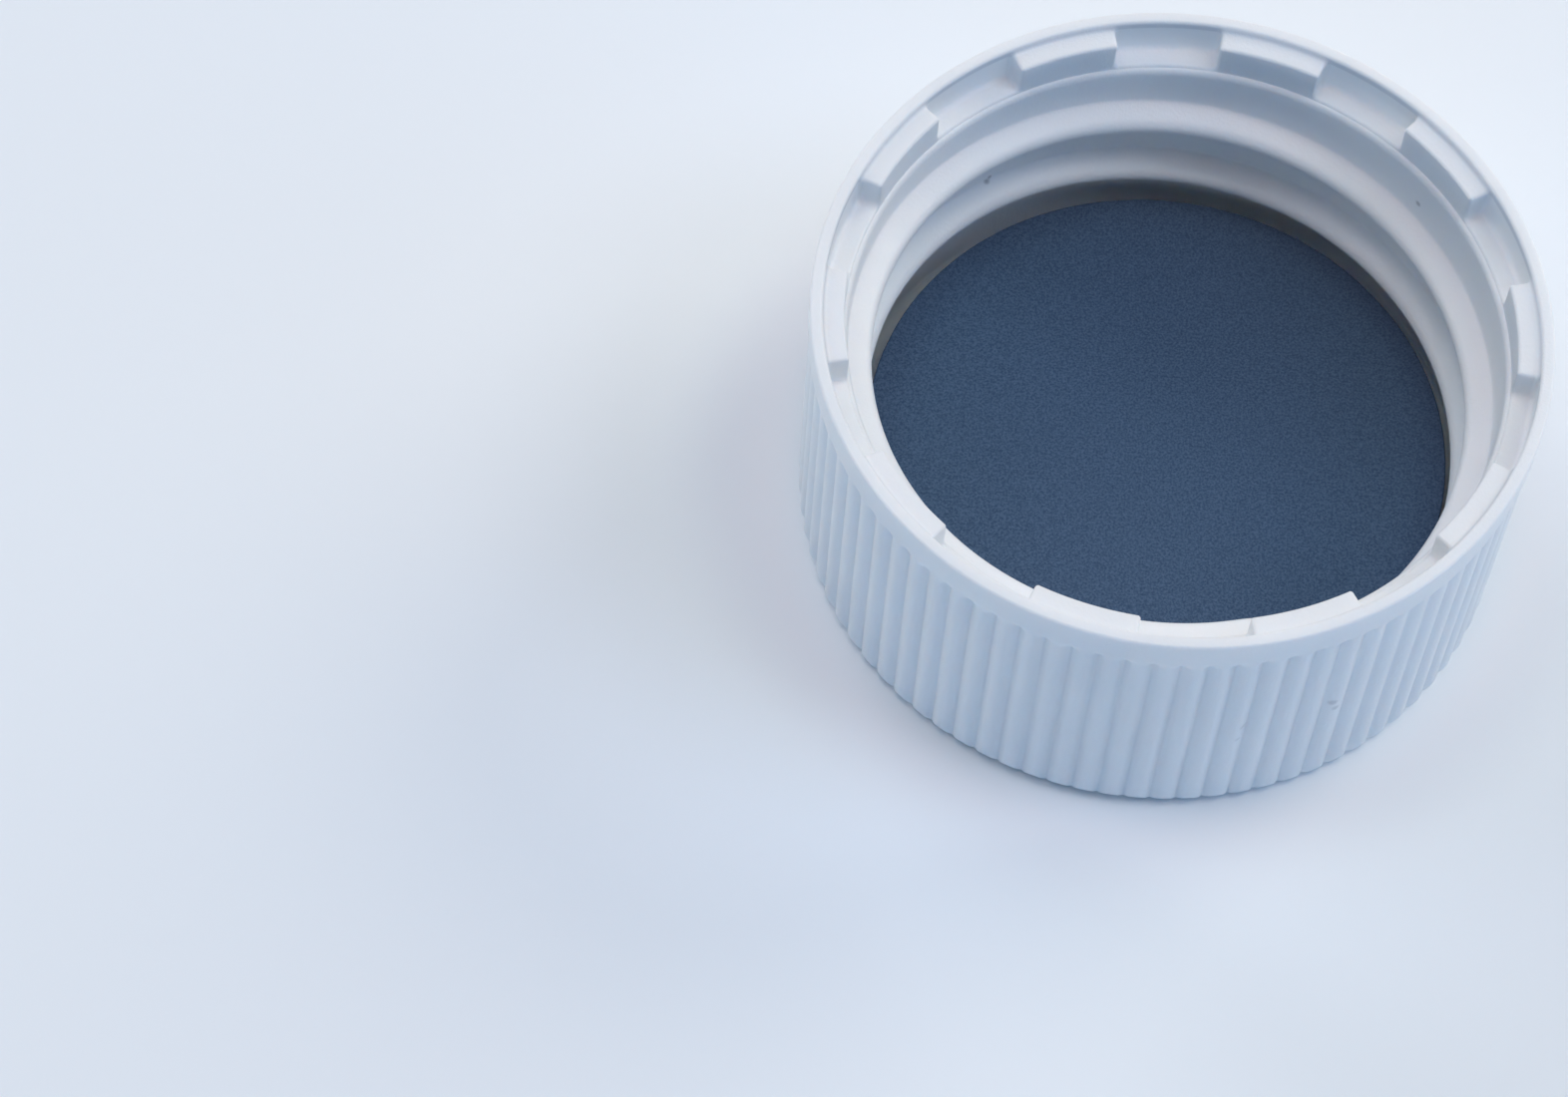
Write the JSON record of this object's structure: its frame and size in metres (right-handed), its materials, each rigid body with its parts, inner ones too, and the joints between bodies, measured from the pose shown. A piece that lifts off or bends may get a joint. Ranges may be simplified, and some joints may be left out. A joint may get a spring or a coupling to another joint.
{
  "type": "septum screw cap",
  "caption": "White ribbed plastic screw cap, mouth up, with internal thread, a ring of lugs inside the mouth and a loose slate-blue septum disc.",
  "frame": {"origin": "centre of the closed end's outer face, on which the cap stands", "axes": "+Z along the cap's axis, towards its open mouth; azimuths counter-clockwise from +X seen from above"},
  "size_m": [0.027, 0.027, 0.0128],
  "materials": {
    "shell": "white moulded polypropylene, satin, slightly translucent",
    "septum": "matt slate blue with a fine grain"
  },
  "bodies": {
    "root": {"cap_shell": "shell", "septum": "septum"}
  },
  "joints": []
}
